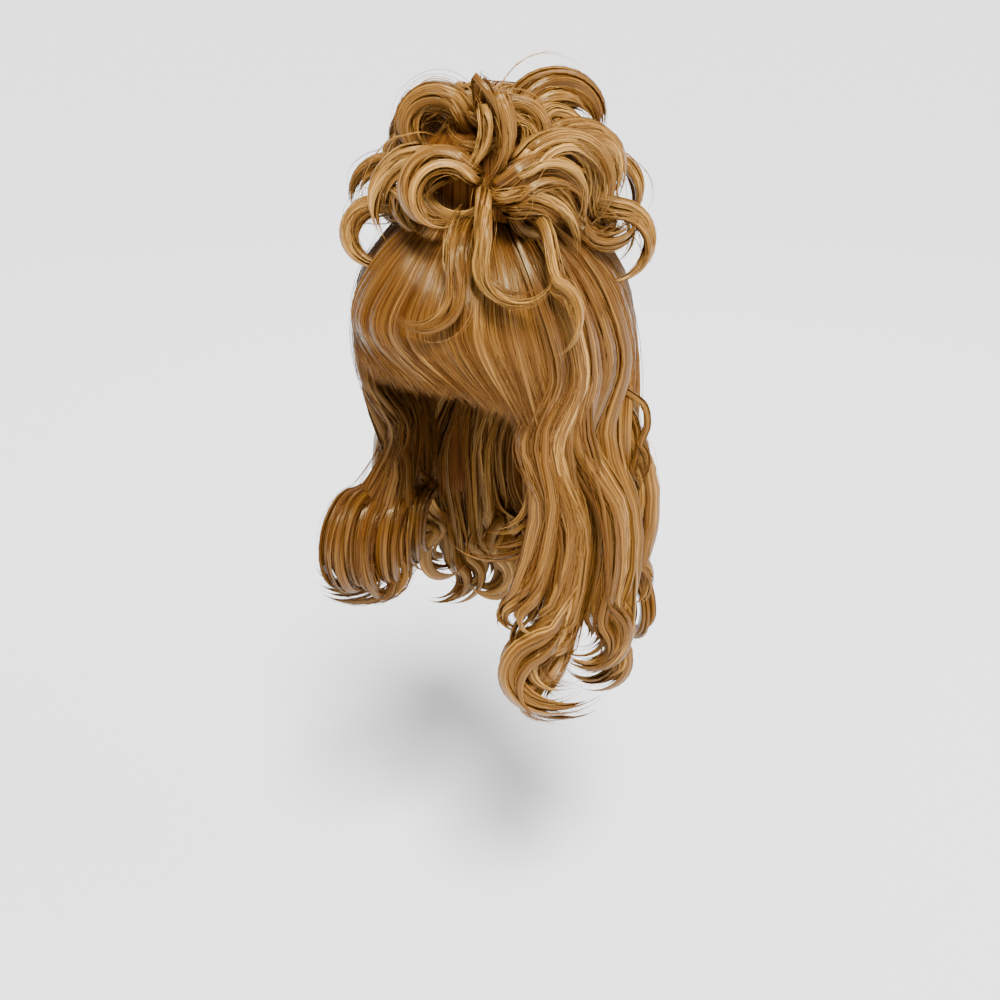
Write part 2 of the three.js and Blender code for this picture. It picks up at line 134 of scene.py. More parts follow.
BACK_LOCK = dict(sway=14, pinch=0, wide=23, tall=23, width=54, depth=20)
CURTAIN = dict(count=29, before=12, after=20, rise=(-14, 8), width=18, depth=14)
CURL_COLUMNS = "across up toward wide tall start sweep face lean drift shrink rise width depth"
PILE_CURLS = rows(
    CURL_COLUMNS,
    (58, 147, 0, 32, 31, 170, -215, 12, 0, -8, 1, 0, 22, 21),
    (-29, 153, 26, 23, 23, 20, 330, -14, 0, 12, 0.85, 0, 24, 17),
    (-27, 115, 66, 23, 23, 50, 300, -8, 10, 10, 0.75, 0, 22, 15),
    (25, 152, 46, 20, 20, 145, -320, 4, 0, 8, 1, 0, 13, 9),
    (-33, 155, 64, 52, 50, 25, -85, 0, 0, 8, 1, 0, 18, 15),
    (26, 72, 68, 46, 44, 100, -110, 22, 0, 4, 1, 0, 22, 17),
    (42, 97, 62, 34, 34, 135, -170, 24, 0, 2, 1, 0, 22, 14),
    (55, 111, 48, 36, 35, 140, -190, 26, 0, 0, 1, 0, 22, 15),
    (69, 113, 24, 37, 35, 130, -180, 28, 0, 0, 1, 0, 22, 15),
    (90, 92, -22, 31, 31, 75, -150, 10, 0, -6, 1, 0, 12, 9),
    (98, 64, 6, 30, 29, 85, -215, 14, 0, 4, 1, 0, 12, 9),
    (94, 86, 14, 23, 21, 215, 165, 20, 0, 6, 1, 0, 15, 12),
    (26, 69, 96, 26, 24, 160, 190, 0, 20, 3, 1, 34, 13, 10),
    (-38, 50, 102, 25, 25, 25, -190, -12, 22, 3, 1, 24, 10, 8),
    (48, 33, 100, 21, 26, 70, -165, 14, 14, 3, 1, 30, 10, 8),
    (-66, 94, -8, 30, 30, 80, 130, -12, 0, 4, 1, 0, 12, 9),
    (-74, 72, 10, 24, 23, 75, 245, -16, 0, 6, 1, 0, 15, 12),
    (-38, 94, 40, 40, 42, 105, 115, -22, 0, 2, 1, 0, 22, 15),
)
BACK_TIERS = rows(
    "count from_turn to_turn up out radius sweep lean",
    (4, 132, 262, 92, 76, 28, 300, 0),
    (3, 150, 256, 140, 52, 26, -300, 35),
)
BACK_CURL = dict(start=90, drift=8, shrink=1, rise=0, width=24, depth=15)


# Places on and round the head


def eased(value, low, high):
    share = np.clip((np.asarray(value, float) - low) / (high - low), 0, 1)
    return share * share * (3 - 2 * share)


def mix(a, b, share):
    return a + (b - a) * share


def outwards(turn):
    turn = np.radians(turn)
    return np.stack([np.sin(turn), -np.cos(turn), np.zeros_like(turn)], -1)


def rightwards(turn):
    turn = np.radians(turn)
    return np.stack([np.cos(turn), np.sin(turn), np.zeros_like(turn)], -1)


def laid_out(across, up, toward):
    return rightwards(LAYOUT_TURN) * across + outwards(LAYOUT_TURN) * toward + UP * up


def over_head(turn, up, lift):
    """Points over the cap: on the dome above the brow line, straight below it."""
    turn, up, lift = np.broadcast_arrays(*(np.asarray(value, float) for value in (turn, up, lift)))
    reach = CAP_WALL + lift
    share = np.sqrt(np.clip(1 - (np.maximum(up, 0) / (HEAD[2] + reach)) ** 2, 0, 1))
    way = outwards(turn)
    wide, deep = (way[..., i] * (HEAD[i] + reach) * share for i in (0, 1))
    return np.stack([wide, deep, up], -1)


def lift_at(turn, up):
    from_front = np.abs((np.asarray(turn, float) + 180) % 360 - 180)
    full = mix(LIFT_FRONT, LIFT_BACK, eased(from_front, LIFT_BACK_FROM, LIFT_BACK_TO))
    return mix(full, LIFT_CROWN, eased(up, 0, SHEET_TOP))


def in_hair(turn, up, lift=0.0):
    return over_head(turn, up, lift_at(turn, up) + lift)


def rim_up(turn):
    return mix(NAPE, HAIRLINE_FRONT, (1 + np.cos(np.radians(turn))) / 2)


def unit(vectors):
    return vectors / np.maximum(np.linalg.norm(vectors, axis=-1, keepdims=True), 1e-9)


def square_to(along, vectors):
    """Unit vectors turned square to the way that a line runs."""
    return unit(vectors - along * (vectors * along).sum(-1, keepdims=True))


def out_of_head(points):
    flat = np.array(points, float)
    flat[..., 2] = np.maximum(flat[..., 2], 0)
    return unit(flat / HEAD**2)


def clear_of_head(points, reach):
    """Points inside the head's form are moved out to its surface."""
    inside = np.sqrt(((points / (HEAD + reach)) ** 2).sum(-1, keepdims=True))
    return points / np.minimum(np.maximum(inside, 1e-6), 1)


# Middle lines of locks


def smooth_path(stops, per_stop=16):
    """A centripetal Catmull-Rom curve through stops, as points and the stop number at each."""
    stops = np.asarray(stops, float)
    padded = np.vstack([2 * stops[0] - stops[1], stops, 2 * stops[-1] - stops[-2]])
    knots = np.concatenate([[0], np.cumsum(np.linalg.norm(np.diff(padded, axis=0), axis=1) ** 0.5)])
    points, places = [], []
    for i in range(len(stops) - 1):
        k = knots[i : i + 4]
        p = padded[i : i + 4]
        share = np.arange(per_stop) / per_stop
        t = (k[1] + (k[2] - k[1]) * share)[:, None]
        a = [(p[j] * (k[j + 1] - t) + p[j + 1] * (t - k[j])) / (k[j + 1] - k[j]) for j in range(3)]
        b = [(a[j] * (k[j + 2] - t) + a[j + 1] * (t - k[j])) / (k[j + 2] - k[j]) for j in range(2)]
        points.append((b[0] * (k[2] - t) + b[1] * (t - k[1])) / (k[2] - k[1]))
        places.append(i + share)
    return np.vstack([*points, stops[-1:]]), np.concatenate([*places, [len(stops) - 1]])


def read_off(at, places, vectors):
    """Vectors that are known at some places, read off at others between them."""
    return np.stack([np.interp(at, places, vectors[:, i]) for i in range(3)], -1)


def guide(stops, thick, width, depth, taper_from, tip, thin_from, ends):
    """The middle line of a lock with its two cross directions and half sizes, even along its length."""
    points, places = smooth_path(stops)
    length = np.concatenate([[0], np.cumsum(np.linalg.norm(np.diff(points, axis=0), axis=1))])
    even = np.linspace(0, length[-1], GUIDE_POINTS)
    middle = read_off(even, length, points)
    along = unit(np.gradient(middle, axis=0))
    facing = square_to(along, read_off(np.interp(even, length, places), np.arange(len(thick)), thick))
    full = mix(1.0, tip, eased(np.linspace(0, 1, GUIDE_POINTS), taper_from, 1))
    bend = np.degrees(np.arccos(np.clip((along[1:] * along[:-1]).sum(-1), -1, 1)))
    work = bend / STEP_BEND + length[-1] / (GUIDE_POINTS - 1) / STEP_LENGTH
    work = np.concatenate([[0], np.cumsum(work)])
    return dict(
        tone=rng.uniform(-LOCK_TONE_RANGE, LOCK_TONE_RANGE),
        steps=int(np.clip(work[-1], FEWEST_STEPS, MOST_STEPS)),
        pace=work / work[-1],
        thin_from=thin_from,
        ends=ends,
        middle=middle,
        broad=np.cross(along, facing),
        thick=facing,
        width=full * width / 2,
        depth=full * depth / 2,
    )


def ring(row, centre, face):
    """The loop that a lock ends in, as stops and the way outwards at each."""
    right, axis = rightwards(face), outwards(face)
    lean = math.radians(row.get("lean", 0))
    rise = UP * math.cos(lean) - axis * math.sin(lean)
    share = np.linspace(0, 1, int(abs(row["sweep"]) / RING_STEP) + 2)[:, None]
    angle = np.radians(row["start"] + row["sweep"] * share)
    out = right * np.cos(angle) * row["wide"] + rise * np.sin(angle) * row["tall"]
    out = out * mix(1, row.get("shrink", 1), share)
    return centre + out + axis * row.get("drift", 0) * share, unit(out)


def hanging_guide(row, centre, face):
    """A lock that starts on the crown, hangs in waves and ends in a ringlet."""
    loop, out = ring(row, centre, face)
    hang = in_hair(row["hang"], EARS_UP)
    lead = [in_hair(row["root"], ROOT_UP), in_hair((row["root"] + row["hang"]) / 2, CROWN_UP), hang]
    for place in WAVE:
        stop = mix(hang, loop[0], place["share"]) + rightwards(face) * place["sway"] * row["sway"]
        lead.append(stop + rightwards(LAYOUT_TURN) * place["pinch"] * row["pinch"])
    thick = np.vstack([out_of_head(lead), out])
    return guide(np.vstack([lead, loop]), thick, row["width"], row["depth"], **RINGLET_END)


def curl_guide(row, centre, face):
    """A curl of the pile: it starts in the heart, and a tendril rises before it hangs."""
    loop, out = ring(row, centre, face)
    lead = [mix(HEART_MIDDLE, loop[0], HEART_ROOT_SHARE)]
    if row["rise"]:
        lead.append(mix(loop[0] + UP * row["rise"], HEART_MIDDLE, TENDRIL_RISE_SHARE))
    thick = np.vstack([out_of_head(lead), out])
    return guide(np.vstack([lead, loop]), thick, row["width"], row["depth"], **CURL_END)


# Rows with the middle and the facing of each loop


def placed_rows(table):
    return [
        (row, laid_out(row["across"], row["up"], row["toward"]), LAYOUT_TURN + row["face"]) for row in table
    ]


def back_rows():
    """The back's main locks, whose ringlets turn to one side and the other."""
    made = []
    fall = BACK_FALL
    low, high = SHEET_TURNS["back"]
    for i in range(fall["count"]):
        turn = mix(low, high, (i + 0.5) / fall["count"])
        side = 1 if i % 2 else -1
        centre = in_hair(turn, 0.0) * [1, 1, 0] + UP * (fall["ring_up"] + side * fall["ring_up_step"])
        start, sweep = fall["start"] - side * fall["start_step"], -side * fall["sweep"]
        made.append((dict(BACK_LOCK, root=turn, hang=turn, start=start, sweep=sweep), centre, turn))
    return made


COPY_SHRINK, COPY_GROWTH = 0.28, 1.03
COPY_STRETCH = (0.94, 1.06)
COPY_START = 12
COPY_SWEEP = (0.66, 1.08)
COPY_SPREADS = (("root", 3), ("hang", 6), ("drift", 4))
COPY_SWAY = (0.2, 1.5)
COPY_GIRTH = 0.7


def varied(row, amount):
    """A row for a smaller lock close to the given one."""
    row = dict(row)
    size = rng.uniform(1 - COPY_SHRINK * amount, COPY_GROWTH)
    row["wide"] = row["wide"] * size * rng.uniform(*COPY_STRETCH)
    row["tall"] = row["tall"] * size * rng.uniform(*COPY_STRETCH)
    row["start"] = row["start"] + rng.uniform(-COPY_START, COPY_START) * amount
    row["sweep"] = row["sweep"] * rng.uniform(*COPY_SWEEP)
    for name, spread in COPY_SPREADS:
        if name in row:
            row[name] = row[name] + rng.uniform(-spread, spread)
    if "sway" in row:
        row["sway"] = row["sway"] * rng.uniform(*COPY_SWAY)
    row["width"] = row["width"] * COPY_GIRTH
    row["depth"] = row["depth"] * COPY_GIRTH
    return row


def curtain_rows():
    """Smaller locks side by side between the back's main ones, so that it hangs as one curtain."""
    made = []
    low, high = SHEET_TURNS["back"][0] - CURTAIN["before"], SHEET_TURNS["back"][1] + CURTAIN["after"]
    main = back_rows()
    for i in range(CURTAIN["count"]):
        share = (i + 0.5) / CURTAIN["count"]
        turn = mix(low, high, share)
        row, centre, _ = main[min(int(share * len(main)), len(main) - 1)]
        row = dict(varied(row, 1.0), root=turn, hang=turn, width=CURTAIN["width"], depth=CURTAIN["depth"])
        up = centre[2] + rng.uniform(*CURTAIN["rise"])
        made.append((row, in_hair(turn, 0.0) * [1, 1, 0] + UP * up, turn))
    return made


def pile_rows():
    """The curls of the pile: those of the table, and two tiers of ring curls at the back."""
    made = placed_rows(PILE_CURLS)
    for tier in BACK_TIERS:
        for turn in np.linspace(tier["from_turn"], tier["to_turn"], tier["count"]):
            centre = outwards(turn) * tier["out"] + UP * tier["up"] + [0, HEART_MIDDLE[1], 0]
            own = dict(wide=tier["radius"], tall=tier["radius"], sweep=tier["sweep"], lean=tier["lean"])
            made.append((dict(BACK_CURL, **own), centre, turn))
    return made


def sampled(line, t):
    """A lock's middle, cross directions and half sizes at shares t of its length."""
    place = t * (len(line["middle"]) - 1)
    low = np.minimum(place.astype(int), len(line["middle"]) - 2)
    share = place - low
    found = {}
    for name in ("middle", "broad", "thick", "width", "depth"):
        values = line[name]
        part = share if values.ndim == 1 else share[..., None]
        found[name] = mix(values[low], values[low + 1], part)
    return found


def paced(line, steps):
    """Shares of a lock's length, closer together where it bends."""
    even = np.linspace(0, 1, len(line["pace"]))
    return np.interp(np.linspace(0, 1, steps + 1), line["pace"], even)


def waves(rates, count, t, which=slice(None)):
    """A wave from -1 to 1 along each strand, with a rate and a phase of its own or of its clump."""
    rate = rng.uniform(*rates, count)[which][:, None]
    phase = rng.uniform(0, FULL_TURN, count)[which][:, None]
    return np.sin(FULL_TURN * rate * t + phase)


# Strands

TONES = 48
CLUMP_TONE, STRAND_TONE, BRIGHTEST = 0.18, 0.14, 0.999
CLUMP_TURNS, CLUMP_SHIFT = 3.382, 0.3
CLUMP_SIZE = (0.14, 0.3)
CLUMP_RATES, FRIZZ_RATES = (0.5, 1.7), (1.5, 4)
CLOSE_FROM, CLOSED = 0.45, 0.4
STRAND_START, STRAND_END = (0, 0.06), (0.93, 1.0)
REACH_SLACK = 0.06
STRAND_GIRTH = (0.7, 1.25)
SIDES, FLATNESS = 3, 0.6
ROOT_GIRTH, ROOT_SHARE = 0.75, 0.2
TIP_GIRTH, TIP_FROM = 0.22, 0.6

# Margins on the UV map, inside a strand's column and at its two ends
COLUMN_START, COLUMN_SPAN = 0.15, 0.7
LENGTH_START, LENGTH_SPAN = 0.01, 0.98
END_HALF, END_TALL, END_HEIGHTS = 0.2, 0.01, (0.0, 0.99)


def tone_columns(which, count, tone):
    """A tone for each strand, deep to bright: strands of a clump are alike."""
    clump = rng.uniform(-CLUMP_TONE, CLUMP_TONE, which.max() + 1)[which]
    share = np.clip(tone + clump + rng.uniform(-STRAND_TONE, STRAND_TONE, count), 0, BRIGHTEST)
    return (share * TONES).astype(int)


class Bundle:
    """Strands of hair gathered for one mesh."""

    def __init__(self, tone):
        self.tone = tone
        self.parts = []

    def add(self, paths, thick, radius, columns):
        self.parts.append((paths, thick, radius, columns))

    def follow(self, line, count, clumps, radius, reach=(0.55, 1.0), wander=0.15, frizz=0.4):
        """Strands along a lock, gathered in clumps that close towards their ends."""
        which = rng.integers(0, clumps, count)
        turn = np.arange(clumps) + rng.uniform(-CLUMP_SHIFT, CLUMP_SHIFT, clumps)
        turn = turn * 2 * math.pi / clumps * CLUMP_TURNS
        away = np.sqrt(rng.uniform(reach[0] ** 2, reach[1] ** 2, clumps))
        size = rng.uniform(*CLUMP_SIZE, clumps)
        own = rng.normal(0, 1, (2, count)) * size[which]
        start = rng.uniform(*STRAND_START, count)
        end = rng.uniform(*line["ends"], clumps)[which] * rng.uniform(*STRAND_END, count)
        t = start[:, None] + (end - start)[:, None] * paced(line, line["steps"])
        close = mix(1.0, CLOSED, eased(t, CLOSE_FROM, 1))
        offsets, shakes = [], []
        for i, base in enumerate((np.cos(turn) * away, np.sin(turn) * away)):
            sway = wander * waves(CLUMP_RATES, clumps, t, which)
            offsets.append(base[which][:, None] + sway + own[i][:, None] * close)
            shakes.append(frizz * waves(FRIZZ_RATES, count, t))
        far = np.sqrt(offsets[0] ** 2 + offsets[1] ** 2)
        held = np.minimum(1, (reach[1] + REACH_SLACK) / np.maximum(far, 1e-6))
        at = sampled(line, t)
        broad, thick = at["broad"], at["thick"]
        paths = at["middle"] + broad * (at["width"] * offsets[0] * held + shakes[0])[..., None]
        paths = paths + thick * (at["depth"] * offsets[1] * held + shakes[1])[..., None]
        roll = rng.uniform(0, math.pi, count)[:, None, None]
        facing = thick * np.cos(roll) + broad * np.sin(roll)
        girth = radius * rng.uniform(*STRAND_GIRTH, count)
        columns = tone_columns(which, count, self.tone + line["tone"])
        self.add(clear_of_head(paths, STRAND_CLEAR), facing, girth, columns)

    def mesh(self, name):
        """One mesh of closed three-sided tubes, with root to tip and tone on its UV map."""
        points, quads, caps, quad_uv, cap_uv = [], [], [], [], []
        base = 0
        angle = np.arange(SIDES) * 2 * math.pi / SIDES
        for paths, thick, radius, columns in self.parts:
            count, stops, _ = paths.shape
            along = unit(np.gradient(paths, axis=1))
            facing = square_to(along, thick)
            broad = np.cross(along, facing)
            t = np.linspace(0, 1, stops)
            girth = radius[:, None] * mix(ROOT_GIRTH, 1.0, eased(t, 0, ROOT_SHARE))
            girth = girth * mix(1.0, TIP_GIRTH, eased(t, TIP_FROM, 1))
            out = facing[:, :, None] * np.cos(angle)[:, None] * FLATNESS
            out = out + broad[:, :, None] * np.sin(angle)[:, None]
            points.append((paths[:, :, None] + out * girth[..., None, None]).reshape(-1, 3))

            root = base + np.arange(count)[:, None, None] * stops * SIDES
            step = np.arange(stops - 1)[None, :, None]
            side = np.arange(SIDES)[None, None, :]
            after = (side + 1) % SIDES
            low = root + step * SIDES
            high = low + SIDES
            quads.append(np.stack([low + side, low + after, high + after, high + side], -1).reshape(-1, 4))
            column = columns[:, None, None] + COLUMN_START
            u = [(column + COLUMN_SPAN * (side + more) / SIDES) / TONES for more in (0, 1)]
            v = [(step + more) / (stops - 1) * LENGTH_SPAN + LENGTH_START for more in (0, 1)]
            corners = np.broadcast_arrays(u[0], v[0], u[1], v[0], u[1], v[1], u[0], v[1])
            quad_uv.append(np.stack(corners, -1).reshape(-1, 2))

            first = root[:, 0]
            last = first + (stops - 1) * SIDES
            caps.append(np.concatenate([first + [2, 1, 0], last + [0, 1, 2]]))
            middle, half = (columns + 0.5) / TONES, END_HALF / TONES
            for height in END_HEIGHTS:
                foot, top = np.full(count, height), np.full(count, height + END_TALL)
                corners = (middle - half, foot, middle + half, foot, middle, top)
                cap_uv.append(np.stack(corners, -1).reshape(-1, 2))
            base += count * stops * SIDES
        return mesh_object(name, *(np.vstack(each) for each in (points, quads, quad_uv, caps, cap_uv)))


def mesh_object(name, points, quads, quad_uv, caps, cap_uv):
    """A smooth mesh object from arrays of points, four-sided faces and three-sided faces."""
    mesh = bpy.data.meshes.new(name)
    mesh.vertices.add(len(points))
    mesh.vertices.foreach_set("co", (points * MM).astype(np.float32).ravel())
    mesh.loops.add(quads.size + caps.size)
    mesh.loops.foreach_set("vertex_index", np.concatenate([quads.ravel(), caps.ravel()]).astype(np.int32))
    mesh.polygons.add(len(quads) + len(caps))
    starts = np.concatenate([np.arange(len(quads)) * 4, quads.size + np.arange(len(caps)) * 3])
    mesh.polygons.foreach_set("loop_start", starts.astype(np.int32))
    mesh.update(calc_edges=True)
    mesh.polygons.foreach_set("use_smooth", np.ones(len(mesh.polygons), bool))
    layer = mesh.uv_layers.new(name="OFBake")
    layer.data.foreach_set("uv", np.concatenate([quad_uv.ravel(), cap_uv.ravel()]).astype(np.float32))
    mesh.validate()
    made = bpy.data.objects.new(name, mesh)
    bpy.context.scene.collection.objects.link(made)
    return made


# Sub-locks, and the cores and sheets that show between the strands

CORE_SCALE, CORE_SIDES, CORE_MORE_STEPS = 0.62, 10, 12
CORE_PAST_END, CORE_THIN_BEFORE = 0.08, 0.06
CORE_TIP, CORE_CLOSED, CORE_SPAN = 0.2, 0.04, 0.5
RIDGE, RIDGE_RATES = 0.16, (0.3, 1.5)
LOCK_STEPS = 1.25
LOCK_CORNERS = ((1, 1), (-1, 1), (-1, -1), (1, -1))
LOCK_FLATNESS, LOCK_ROUNDING, LOCK_SPAN = 0.22, 0.5, 0.05
LOCK_ROOT, LOCK_ROOT_SHARE, LOCK_CLOSED, LOCK_TIP = 0.5, 0.12, 0.1, 0.05
LOCK_TONE_SPREAD = 0.14
LOCK_SHIFT, LOCK_START, LOCK_RATES = 0.3, (0, 0.05), (0.4, 1.3)
LOCK_WANDER, LOCK_GIRTH = 0.18, (0.45, 1.4)
SEAM = 0.98


class Body:
    """Smooth closed forms gathered for one mesh."""

    def __init__(self):
        self.points, self.quads, self.uv, self.normals = [], [], [], []
        self.base = 0

    def core(self, line):
        """The inside of a lock, ridged along its length as gathered hair is."""
        last = line["ends"][0] + CORE_PAST_END
        t = paced(line, line["steps"] + CORE_MORE_STEPS) * last
        at = sampled(line, t)
        angle = np.arange(CORE_SIDES) * 2 * math.pi / CORE_SIDES
        ends = mix(1.0, CORE_TIP, eased(t, line["thin_from"] - CORE_THIN_BEFORE, last))
        ends[[0, -1]] = CORE_CLOSED
        phase, rate = rng.uniform(0, FULL_TURN, CORE_SIDES), rng.uniform(*RIDGE_RATES, CORE_SIDES)
        ridge = 1 + RIDGE * np.sin(phase + FULL_TURN * rate * np.linspace(0, 1, len(t))[:, None])
        ends = (ends[:, None] * ridge * CORE_SCALE)[..., None]
        out = at["broad"][:, None] * np.cos(angle)[None, :, None] * at["width"][:, None, None] * ends
        out = out + at["thick"][:, None] * np.sin(angle)[None, :, None] * at["depth"][:, None, None] * ends
        points = clear_of_head(at["middle"][:, None] + out, CORE_CLEAR)
        shift = rng.uniform(0, 1 - CORE_SPAN)
        self.wrap(points, shift, shift + CORE_SPAN)

    def flat(self, path, out, half, tone, taper_from, spread=LOCK_TONE_SPREAD):
        """A flat sub-lock along a path, narrowing to a fine end."""
        along = unit(np.gradient(path, axis=0))
        out = square_to(along, out)
        side = np.cross(along, out)
        share = np.linspace(0, 1, len(path))
        full = half * mix(LOCK_ROOT, 1.0, eased(share, 0, LOCK_ROOT_SHARE))
        full = full * mix(1.0, LOCK_TIP, eased(share, taper_from, 1))
        full[0] = full[0] * LOCK_CLOSED
        corners = [side * across + out * rise * LOCK_FLATNESS for across, rise in LOCK_CORNERS]
        normals = [side * across * LOCK_ROUNDING + out * rise for across, rise in LOCK_CORNERS]
        points = path[:, None] + np.stack(corners, 1) * full[:, None, None]
        shift = np.clip(tone + rng.uniform(-spread, spread), 0, 1 - LOCK_SPAN)
        self.wrap(points, shift, shift + LOCK_SPAN, unit(np.stack(normals, 1)))

    def sub_locks(self, line, count, tone, size, reach=(0.4, 0.95)):
        """Flat sub-locks round a lock, each with its own tone, girth and end."""
        turn = (np.arange(count) + rng.uniform(-LOCK_SHIFT, LOCK_SHIFT, count)) * 2 * math.pi / count
        away = np.sqrt(rng.uniform(reach[0] ** 2, reach[1] ** 2, count))
        start, end = rng.uniform(*LOCK_START, count), rng.uniform(*line["ends"], count)
        t = start[:, None] + (end - start)[:, None] * paced(line, int(line["steps"] * LOCK_STEPS))
        at = sampled(line, t)
        off = 0
        for base, way, half_size in ((np.cos(turn), "broad", "width"), (np.sin(turn), "thick", "depth")):
            place = (base * away)[:, None] + LOCK_WANDER * waves(LOCK_RATES, count, t)
            off = off + at[way] * (at[half_size] * place)[..., None]
        paths = clear_of_head(at["middle"] + off, STRAND_CLEAR)
        girth = size * np.sqrt(at["width"] * at["depth"]) * rng.uniform(*LOCK_GIRTH, count)[:, None]
        for path, out, half in zip(paths, off, girth):
            self.flat(path, out, half, tone + line["tone"], line["thin_from"])

    def wrap(self, points, u_low, u_high, normals=0.0):
        """A closed form from rings of points, its first and last ring small enough to close flat."""
        stops, sides, _ = points.shape
        i, j = np.meshgrid(np.arange(stops - 1), np.arange(sides), indexing="ij")
        after = (j + 1) % sides
        low, high = i * sides, (i + 1) * sides
        quads = np.stack([low + j, high + j, high + after, low + after], -1)
        u = [mix(u_low, u_high, (j + more) / sides) for more in (0, 1)]
        v = [LENGTH_START + LENGTH_SPAN * (i + more) / (stops - 1) for more in (0, 1)]
        uv = np.stack([u[0], v[0], u[0], v[1], u[1], v[1], u[1], v[0]], -1)
        self.points.append(points.reshape(-1, 3))
        self.normals.append(np.broadcast_to(normals, points.shape).reshape(-1, 3))
        self.quads.append(quads.reshape(-1, 4) + self.base)
        self.uv.append(uv.reshape(-1, 2))
        self.base += len(self.points[-1])

    def slab(self, outer, inner):
        """A closed sheet between two grids of points: rows run down the hair, columns across it."""
        loop = np.concatenate([outer, inner[:, ::-1]], axis=1)
        ends = []
        for end in (slice(0, 1), slice(-1, None)):
            seam = (outer[end] + inner[end]) / 2
            ends.append(mix(loop[end], np.concatenate([seam, seam[:, ::-1]], 1), SEAM))
        self.wrap(np.concatenate([ends[0], loop, ends[1]]), 0.0, 1.0)

    def mesh(self, name):
        """One mesh of the forms: normals of zero leave a point's own normal as it is."""
        arrays = (np.vstack(each) for each in (self.points, self.quads, self.uv))
        made = mesh_object(name, *arrays, np.zeros((0, 3), int), np.zeros((0, 2)))
        made.data.normals_split_custom_set_from_vertices(np.vstack(self.normals))
        return made


SHEET_GRID = (33, 19)
SHEET_TUCK, TUCK_FROM = 9.0, 0.5
SHEET_DROP, SHEET_SINK, SHEET_THICK = 2, 1, 3
SHEET_OFF_CAP, SHEET_OVER_RIM = 0.8, 4
SHEET_RAGS = ((9, 0.9), (6, 2.3))


def sheet_body(body, turns, bottom):
    """The sheet of wefts behind the locks of a side: a side's foot is tucked in, and the back's is not."""
    turn, share = np.meshgrid(np.linspace(*turns, SHEET_GRID[0]), np.linspace(0, 1, SHEET_GRID[1]))
    foot = bottom
    for height, rate in SHEET_RAGS:
        foot = foot + height * np.sin(turn * rate)
    up = mix(SHEET_TOP - SHEET_DROP, foot, share)
    tuck = SHEET_TUCK if bottom == SIDE_BOTTOM else 0
    lift = lift_at(turn, up) - SHEET_SINK - tuck * eased(share, TUCK_FROM, 1)
    on_cap = up > rim_up(turn) + SHEET_OVER_RIM
    inner_lift = np.where(on_cap, SHEET_OFF_CAP, lift - SHEET_THICK)
    body.slab(over_head(turn, up, lift), over_head(turn, up, inner_lift))


# Fringe: strands, sub-locks and a sheet, swept round the brow

FRINGE_ACROSS = (-0.5, 7.3)
FRINGE_HIGH_UP, FRINGE_HIGH_SHARE = 54.0, 0.7
FRINGE_MID_UP, FRINGE_MID_LIFT, FRINGE_TIP_RISE = 18.0, 2, 4
FRAY_FROM, FRAY_FALL, FRAY_SHARE = 5.0, 22.0, (-1, 0.8)
FRINGE_BUMPS, FRINGE_BUMP_LIFT = ((9.1, 0, 1.0), (23.7, 1, 0.7)), 0.5
FRINGE_EDGE, FRINGE_EDGE_RATE = 2.0, 17.0
FRINGE_STRANDS = dict(count=940, steps=15, radius=0.4, clumps=13, lift=(-1.2, 1.2), ends=2.4)
FRINGE_STRAND_DRIFT = np.array([0.3, 1.2, 1.6, 2.2])
FRINGE_LOCKS = dict(count=190, steps=18, lift=(-1.8, 0.9), shift=0.06, ends=(-5, 4), half=(0.8, 2.5))
FRINGE_LOCK_TAPER, FRINGE_LOCK_TONES = 0.7, 0.26
FRINGE_LOCK_DRIFT = np.array([0.3, 1.0, 1.6, 2.6])
FRINGE_SHEET = dict(columns=40, steps=21, start=0.3, stop=0.2, outer=-1.0, inner=-5.0)


def fringe_stops(across, lift):
    """Stops of fringe strands at places across the table's rows."""
    low = np.clip(np.floor(across), 0, len(FRINGE) - 2).astype(int)

    def column(name):
        values = np.array([row[name] for row in FRINGE], float)
        return mix(values[low], values[low + 1], across - low)

    root, mid, tip, tip_up = (column(name) for name in ("root", "mid", "tip", "tip_up"))
    return np.stack(
        [
            in_hair(root, ROOT_UP, lift),
            in_hair(mix(root, mid, FRINGE_HIGH_SHARE), FRINGE_HIGH_UP, lift),
            in_hair(mid, FRINGE_MID_UP, lift + FRINGE_MID_LIFT),
            in_hair(tip, tip_up + FRINGE_TIP_RISE, lift),
        ],
        1,
    )


def drifted(stops, drift):
    """Fringe stops moved sideways along the head, more towards the tips."""
    aside = rng.normal(0, 1, (len(stops), 1)) * drift
    return stops + np.cross(UP, out_of_head(stops)) * aside[..., None]


def frayed(across):
    """How far the tips fall or rise where the fringe runs out into the side."""
    return rng.uniform(*FRAY_SHARE, len(across)) * (eased(across, FRAY_FROM, FRINGE_ACROSS[1]) * FRAY_FALL)


def swept_paths(stops, steps):
    """Smooth paths through the four stops of many strands."""
    return np.stack([smooth_path(line, per_stop=steps // 3)[0] for line in stops])


